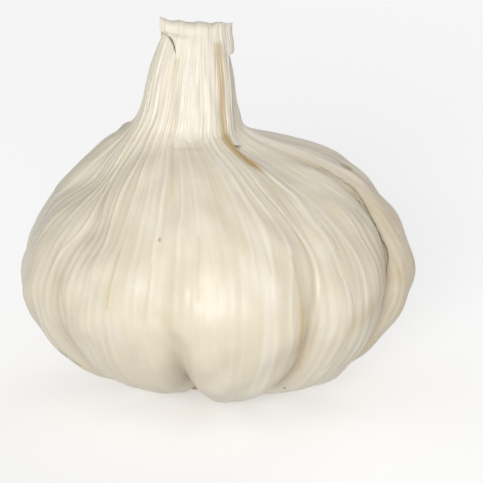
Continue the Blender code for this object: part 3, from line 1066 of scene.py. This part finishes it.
@dataclass
class NeckFold:
    """The strip of leaf that runs up the front of the neck, bends over its cut top and hangs down behind."""

    columns: int = 150
    front_rows: int = 120
    over_rows: int = 40
    tail_rows: int = 24
    foot: float = 5.9
    head: float = 8.95
    left: tuple[tuple[float, float], ...] = (
        (5.9, -18.0), (7.0, -21.0), (7.8, -23.5), (8.3, -26.0), (8.6, -31.0), (8.8, -42.0), (8.95, -66.0),
    )
    right: tuple[tuple[float, float], ...] = (
        (5.9, 52.0), (7.0, 52.0), (8.1, 53.0), (8.35, 56.0), (8.45, 72.0), (8.95, 78.0),
    )
    stand_off: tuple[tuple[float, float], ...] = (
        (5.9, 0.6), (6.3, 0.9), (6.8, 1.06), (7.3, 1.2), (8.0, 1.3), (8.6, 1.3), (8.95, 1.2),
    )
    rise: float = 1.5
    crest: float = 0.5
    tilt: float = 0.03
    tail: float = 3.5
    splay: float = 0.25
    thickness: float = 0.22
    curl: float = 0.9
    curl_from: float = 8.3
    curl_share: float = 0.2
    edge_sunk: float = 0.35
    edge_share: float = 0.1
    turn_power: float = 1.15
    ripple: float = 0.12
    ripple_rate: float = 2.1
    pleat_share: float = 0.35
    ragged: tuple[tuple[float, float, float], ...] = ((0.15, 8.0, 1.0), (0.07, 23.0, 0.0), (0.03, 57.0, 0.0))
    relief: Relief = Relief(
        main=Veins(58, 0.17, 52, sway=0.03, strong=((38.5, 0.9, 0.0), (14.0, 0.5, 0.0), (-8.0, 0.4, 0.0))),
        fine=Veins(190, 0.1, 53, sway=0.03),
        seed=54,
        ridge_at=(0.0, 0.0, 0.0, 0.0, 0.0, 0.04, 0.05, 0.05, 0.05, 0.05),
        slack_at=(0.0, 0.0, 0.0, 0.0, 0.0, 0.04, 0.05, 0.06, 0.06, 0.05),
        fine_at=(0.0, 0.0, 0.0, 0.0, 0.0, 0.02, 0.04, 0.06, 0.065, 0.06),
        dent_at=(0.0, 0.0, 0.0, 0.0, 0.0, 0.05, 0.07, 0.09, 0.09, 0.07),
    )

    def shell(self) -> Shell:
        """Front, bend and tail as one grid, then both faces and the rim.

        The front follows the skin. The bend rises as the sine of a half turn whose progress is a power of
        the share gone over, so its crest is near the front, and it is higher towards the left. The tail
        drops straight and stands off behind.

        Returns:
            The closed strip.
        """
        across = np.linspace(0, 1, self.columns)
        rows = np.linspace(self.foot, self.head, self.front_rows)
        share, place = np.meshgrid(across, rows)
        left, right = (np.radians(through(edge, place)) for edge in (self.left, self.right))
        azimuth = left + (right - left) * share
        height, vein, tone = self.relief.at(azimuth, place)
        out = through(self.stand_off, place) + height
        corner = smooth(self.curl_from, self.head, place) * np.exp(-((share / self.curl_share) ** 2))
        sunk = 1 - smooth(0.0, self.edge_share, np.minimum(share, 1 - share))
        sunk = sunk * (1 - smooth(6.6, 8.0, place))
        out = out + self.curl * corner - self.edge_sunk * sunk
        front = FORM.surface(azimuth, place, out)
        head = front[-1]
        middle = STATIONS[-1, 4]
        turn = np.linspace(0, 1, self.over_rows + 1)[1:, None]
        half = middle - head[:, 1]
        lift = self.rise - self.tilt * (head[:, 0] - STATIONS[-1, 3])
        lift = lift + self.ripple * np.sin(head[:, 0] * self.ripple_rate)
        over = np.stack(
            [
                np.broadcast_to(head[:, 0], (self.over_rows, self.columns)),
                head[:, 1] + 2 * half * turn**self.turn_power,
                head[:, 2] + lift * np.sin(np.pi * turn**self.crest),
            ],
            axis=-1,
        )
        drop = np.linspace(0, self.tail, self.tail_rows + 1)[1:, None, None]
        ragged = 1 + sum(size * np.sin(across * rate + phase) for size, rate, phase in self.ragged)
        tail = over[-1:] + drop * np.stack(
            [np.zeros(self.columns), self.splay * np.ones(self.columns), -ragged], axis=-1
        )
        pleats = height[-1] * np.linspace(1.0, 0.5, self.over_rows + self.tail_rows)[:, None]
        behind = np.concatenate([over, tail])
        points = np.concatenate([front, behind])
        around = np.gradient(points, axis=1)
        along = np.gradient(points, axis=0)
        normal = np.cross(around, along)
        normal /= np.linalg.norm(normal, axis=-1, keepdims=True)
        raised = (pleats - pleats.mean())[..., None] * self.pleat_share
        points[self.front_rows :] += normal[self.front_rows :] * raised
        inner = points - normal * self.thickness
        extra_rows = ((0, self.over_rows + self.tail_rows), (0, 0))
        azimuth, vein, tone = (np.pad(part, extra_rows, mode="edge") for part in (azimuth, vein, tone))
        past = self.head + np.linspace(0, 1.2, len(behind))[:, None] * np.ones(self.columns)
        place = np.minimum(np.concatenate([place, past]), 9.0)
        extra = skin_attributes(azimuth, place, vein, tone)
        grid, faces, source = Sheet(points, inner, 1).polygons()
        flat = {key: part.reshape(-1, 3)[source] for key, part in extra.items()}
        # Painted shade on the strip's inner face
        flat["form"][azimuth.size :, 1] = 0.6
        return Shell(grid, faces, flat)

    def build(self, finish: bpy.types.Material) -> bpy.types.Object:
        """Makes the piece."""
        return claim(self.shell().build("neck_fold", finish), "neck_fold_leaf")


@dataclass
class RootPlate:
    """The corky root plate with its brush of close-cut root stubs."""

    radius: float = 7.4
    top: float = 2.9
    underside: float = 0.95
    columns: int = 180
    rows: int = 44
    stub_rings: tuple[tuple[float, int], ...] = (
        (1.1, 7), (2.2, 14), (3.3, 21), (4.4, 28), (5.4, 36), (6.2, 42),
    )
    stub_radius: float = 0.33
    stub_sides: int = 7
    stub_rows: int = 4
    bare_middle: float = -15.0
    bare_spread: float = 42.0
    bare_ring: float = 3.6
    seed: int = 61

    def plate(self) -> Shell:
        """A lumpy disc: a profile turned round, with radial wrinkles and a closed middle."""
        profile = np.array([
            (0.02, self.underside), (2.5, self.underside), (5.6, self.underside),
            (6.7, self.underside + 0.12), (7.25, 1.45), (self.radius, 1.9), (7.3, 2.5), (6.9, 2.8),
            (6.2, self.top), (3.0, self.top),
            (0.02, self.top),
        ])
        place = np.linspace(0, len(profile) - 1, self.rows)[:, None] * np.ones(self.columns)
        angle = np.linspace(0, 2 * np.pi, self.columns, endpoint=False)[None, :] * np.ones((self.rows, 1))
        radius, height = spline(profile[:, 0], place), spline(profile[:, 1], place)
        bumps = Waves((8, 60), (0.05, 0.5), self.seed).at(angle, radius)
        radius = radius * (1 + 0.006 * bumps * smooth(1.0, 5.0, radius))
        height = height + 0.05 * bumps * smooth(0.5, 3.0, radius) * (place < 5)
        points = np.stack([radius * np.cos(angle), radius * np.sin(angle), height], axis=-1)
        index = np.arange(points.shape[0] * self.columns).reshape(points.shape[0], self.columns)
        caps = [index[0][::-1][None], index[-1][None]]
        return Shell(points.reshape(-1, 3), [quads(index, closed=True), *caps])

    def stubs(self) -> Shell:
        """Rings of short tubes that lean outwards, each with a dished end; none at the front.

        A stub is a ring of sides carried along a straight axis, its radius easing from thick to thin,
        closed by a point a little inside its cut end.

        Returns:
            All stubs as one mesh.
        """
        rng = np.random.default_rng(self.seed)
        places = np.concatenate([
            np.stack([
                np.full(count, ring),
                2 * np.pi * (np.arange(count) + rng.uniform(0, 1)) / count,
            ], axis=-1)
            for ring, count in self.stub_rings
        ])
        aside = degrees_from(self.bare_middle - 90, places[:, 1])
        places = places[(np.abs(aside) > self.bare_spread) | (places[:, 0] < self.bare_ring)]
        count = len(places)
        angle = places[:, 1] + rng.normal(0, 0.04, count)
        ring = places[:, 0] + rng.normal(0, 0.12, count)
        size = self.stub_radius * rng.uniform(0.65, 1.2, count)
        foot = np.stack([ring * np.cos(angle), ring * np.sin(angle)], axis=-1)
        lean = 0.06 * foot / np.maximum(ring, 0.5)[:, None] * ring[:, None] + rng.normal(0, 0.12, (count, 2))
        end = rng.uniform(0.0, 0.35, count)
        end[:: max(1, count // 12)] = 0.0
        t = np.linspace(0, 1, self.stub_rows)
        top = self.underside + 0.25
        centre = foot[:, None, :] + lean[:, None, :] * t[None, :, None]
        height = top + (end[:, None] - top) * t[None, :]
        swell = size[:, None] * (1.15 - 0.3 * t + 0.12 * np.sin(7 * t[None, :] + angle[:, None] * 5))
        sides = np.linspace(0, 2 * np.pi, self.stub_sides, endpoint=False)
        x = centre[..., 0:1] + swell[..., None] * np.cos(sides)
        y = centre[..., 1:2] + swell[..., None] * np.sin(sides)
        z = np.broadcast_to(height[..., None], x.shape)
        tubes = np.stack([x, y, z], axis=-1)
        tips = np.concatenate([centre[:, -1], (end + 0.12)[:, None]], axis=-1)
        index = np.arange(tubes[..., 0].size).reshape(count, self.stub_rows, self.stub_sides)
        wrapped = np.concatenate([index, index[..., :1]], axis=-1)
        low, high = wrapped[:, :-1], wrapped[:, 1:]
        walls = np.stack([low[..., :-1], high[..., :-1], high[..., 1:], low[..., 1:]], axis=-1)
        walls = walls.reshape(-1, 4)
        tip = (index.size + np.arange(count))[:, None] * np.ones(self.stub_sides, int)
        last = wrapped[:, -1]
        ends = np.stack([last[:, :-1], tip, last[:, 1:]], axis=-1).reshape(-1, 3)
        lids = index[:, 0]
        return Shell(np.concatenate([tubes.reshape(-1, 3), tips]), [walls, ends, lids])

    def build(self, plate_finish: bpy.types.Material, stub_finish: bpy.types.Material) -> None:
        """Makes the plate and its stubs.

        Args:
            plate_finish: the plate's material.
            stub_finish: the stubs' material.
        """
        claim(self.plate().build("root_disc", plate_finish), "root_plate")
        claim(self.stubs().build("root_stubs", stub_finish, 70.0), "root_plate")


@dataclass
class Studio:
    """The pale floor, the soft lights and the camera in front of the head."""

    elevation: float = 17.0
    distance: float = 420.0
    shift_right: float = 4.08
    shift_up: float = 22.64
    lens: float = 195.7
    sensor: float = 36.0
    floor_size: float = 6.0
    floor_colour: tuple[float, float, float] = (0.90, 0.90, 0.90)
    floor_glow: float = 0.38
    world_strength: float = 0.40

    def camera(self) -> bpy.types.Object:
        """A long lens looking along +Y and down at the head."""
        tilt = np.radians(self.elevation)
        forward = Vector((0.0, np.cos(tilt), -np.sin(tilt)))
        up = Vector((0.0, np.sin(tilt), np.cos(tilt)))
        right = Vector((1.0, 0.0, 0.0))
        data = bpy.data.cameras.new("camera")
        data.lens, data.sensor_width = self.lens, self.sensor
        data.clip_start, data.clip_end = 0.01, 50.0
        made = bpy.data.objects.new("camera", data)
        place = (right * self.shift_right + up * self.shift_up - forward * self.distance) * MM
        turn = Matrix((right, up, -forward)).transposed().to_4x4()
        made.matrix_world = Matrix.Translation(place) @ turn
        bpy.context.scene.collection.objects.link(made)
        bpy.context.scene.camera = made
        return made

    def floor(self) -> bpy.types.Object:
        """A large pale square that glows faintly."""
        half = self.floor_size / 2
        mesh = bpy.data.meshes.new("floor")
        corners = [(-half, -half, 0), (half, -half, 0), (half, half, 0), (-half, half, 0)]
        mesh.from_pydata(corners, [], [(0, 1, 2, 3)])
        made = bpy.data.objects.new("floor", mesh)
        finish = NodeMaterial("floor")
        finish.set("Base Color", self.floor_colour)
        finish.set("Roughness", 0.9)
        finish.set("Specular IOR Level", 0.1)
        finish.set("Emission Color", (1.0, 1.0, 1.0))
        finish.set("Emission Strength", self.floor_glow)
        mesh.materials.append(finish.material)
        made.visible_diffuse = False
        bpy.context.scene.collection.objects.link(made)
        made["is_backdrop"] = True
        return made

    def lamp(
        self, name: str, place: tuple[float, float, float], size: float, power: float
    ) -> bpy.types.Object:
        """A square area light that points at the head's middle.

        Args:
            name: its name.
            place: metres from the origin.
            size: side in metres.
            power: watts.

        Returns:
            The light.
        """
        data = bpy.data.lights.new(name, "AREA")
        data.size, data.energy = size, power
        made = bpy.data.objects.new(name, data)
        made.location = place
        made.rotation_euler = (Vector(place) - Vector((0, 0, 0.025))).to_track_quat("Z", "Y").to_euler()
        bpy.context.scene.collection.objects.link(made)
        return made

    def build(self) -> None:
        """Sets the camera, the floor, the even light of the room and the two lamps."""
        self.camera()
        self.floor()
        world = bpy.data.worlds.new("soft_room")
        world.use_nodes = True
        world.node_tree.nodes["Background"].inputs["Color"].default_value = (1.0, 1.0, 1.0, 1.0)
        world.node_tree.nodes["Background"].inputs["Strength"].default_value = self.world_strength
        scene = bpy.context.scene
        scene.world = world
        scene.view_settings.view_transform = "Standard"
        self.lamp("front_softbox", (-0.14, -1.1, 0.27), 0.45, 9.0)
        self.lamp("back_softbox", (0.5, 0.9, 0.55), 0.6, 2.2)


FRONT_LEAF = WrapperLeaf(
    name="front_leaf",
    node="front_wrapper_leaf",
    slot="front_leaf",
    left=((1.0, -168.0), (1.75, -168.0), (8.3, -118.0), (9.0, -113.0)),
    right=(
        (1.0, 41.0), (2.6, 41.0), (4.0, 40.0), (4.8, 41.5),
        (5.4, 39.5), (6.0, 37.5), (8.3, 37.0), (9.0, 37.0),
    ),
    low=((0.0, 1.9), (0.2, 1.6), (0.45, 1.4), (0.7, 1.45), (0.85, 1.4), (1.0, 1.65)),
    high=((0.0, 8.5), (0.2, 8.8), (0.35, 8.85), (0.5, 8.6), (0.56, 8.45), (0.7, 8.5), (1.0, 8.5)),
    stand_off=(
        (1.0, 0.3), (1.75, 0.35), (2.4, 0.7), (3.0, 1.0), (5.0, 1.0), (5.8, 0.75), (7.0, 0.9), (9.0, 1.1),
    ),
    relief=Relief(
        main=Veins(48, 0.28, 11, ends=(2.4, 5.4), strong=FRONT_VEINS),
        fine=Veins(210, 0.16, 12),
        strokes=STROKES,
        seed=13,
        calm=((8.0, 5.9, 17.0, 1.0, 0.65), (-8.0, 3.2, 40.0, 1.2, 0.3)),
    ),
    columns=481,
    rows=175,
    lining_step=8,
    tear_size=0.06,
)
RIGHT_LEAF = WrapperLeaf(
    name="right_leaf",
    node="right_wrapper_leaf",
    slot="right_leaf",
    left=((1.4, 33.0), (6.2, 32.0)),
    right=(
        (1.4, 58.0), (2.0, 59.0), (3.0, 62.0), (3.6, 67.5),
        (4.2, 70.0), (4.6, 76.0), (5.3, 78.0), (6.2, 78.0),
    ),
    low=((0.0, 1.7), (0.5, 1.6), (1.0, 1.8)),
    high=((0.0, 6.0), (0.4, 5.8), (0.7, 5.5), (1.0, 5.1)),
    stand_off=((1.0, 0.4), (2.0, 0.6), (3.0, 0.78), (5.0, 0.75), (5.6, 0.4), (6.2, 0.3)),
    relief=Relief(
        main=Veins(54, 0.3, 14, ends=(3.6, 5.6), strong=RIGHT_VEINS),
        fine=Veins(200, 0.16, 15),
        strokes=STROKES,
        seed=31,
        ridge_at=(0.0, 0.02, 0.03, 0.045, 0.05, 0.04, 0.03, 0.03, 0.03, 0.03),
        slack_at=(0.02, 0.05, 0.1, 0.12, 0.1, 0.06, 0.04, 0.04, 0.04, 0.04),
        fine_at=(0.0, 0.0, 0.004, 0.006, 0.012, 0.015, 0.015, 0.02, 0.02, 0.02),
    ),
    columns=145,
    rows=280,
    lining_step=8,
    edge_widths=(2.8, 1.6, 3.0, 4.0),
    edge_gap=0.06,
    right_lift=((1.4, 0.1), (3.2, 0.15), (3.7, 0.35), (4.4, 0.45), (4.9, 0.1), (6.0, 0.0)),
    torn_right=((1.4, 0.3), (3.0, 0.5), (3.5, 1.0), (4.5, 1.1), (4.9, 0.4), (6.0, 0.1)),
    tear_size=0.13,
    seed=44,
)


def main() -> None:
    """Builds the studio and each sub-assembly, and reports each piece."""
    logging.basicConfig(level=logging.INFO, format="%(name)s %(message)s")
    Studio().build()
    WrappedBulb().build(DrySkin("inner_skin_finish").material())
    leaf = DrySkin("wrapper_leaf_finish").material()
    FRONT_LEAF.build(leaf)
    RIGHT_LEAF.build(leaf)
    NeckFold().build(DrySkin("neck_leaf_finish", bump=0.6).material())
    stub_finish = Cork("root_stub_finish", body=(0.5, 0.38, 0.24))
    RootPlate().build(Cork("root_disc_finish").material(), stub_finish.material())
    boxes = [[list(corner) for corner in box] for box in (cad_box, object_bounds())]
    for label, box in zip(("CAD", "visual"), boxes):
        LOG.info("%s box in mm: %s", label, [[round(1000 * value, 2) for value in corner] for corner in box])


if __name__ == "__main__":
    main()
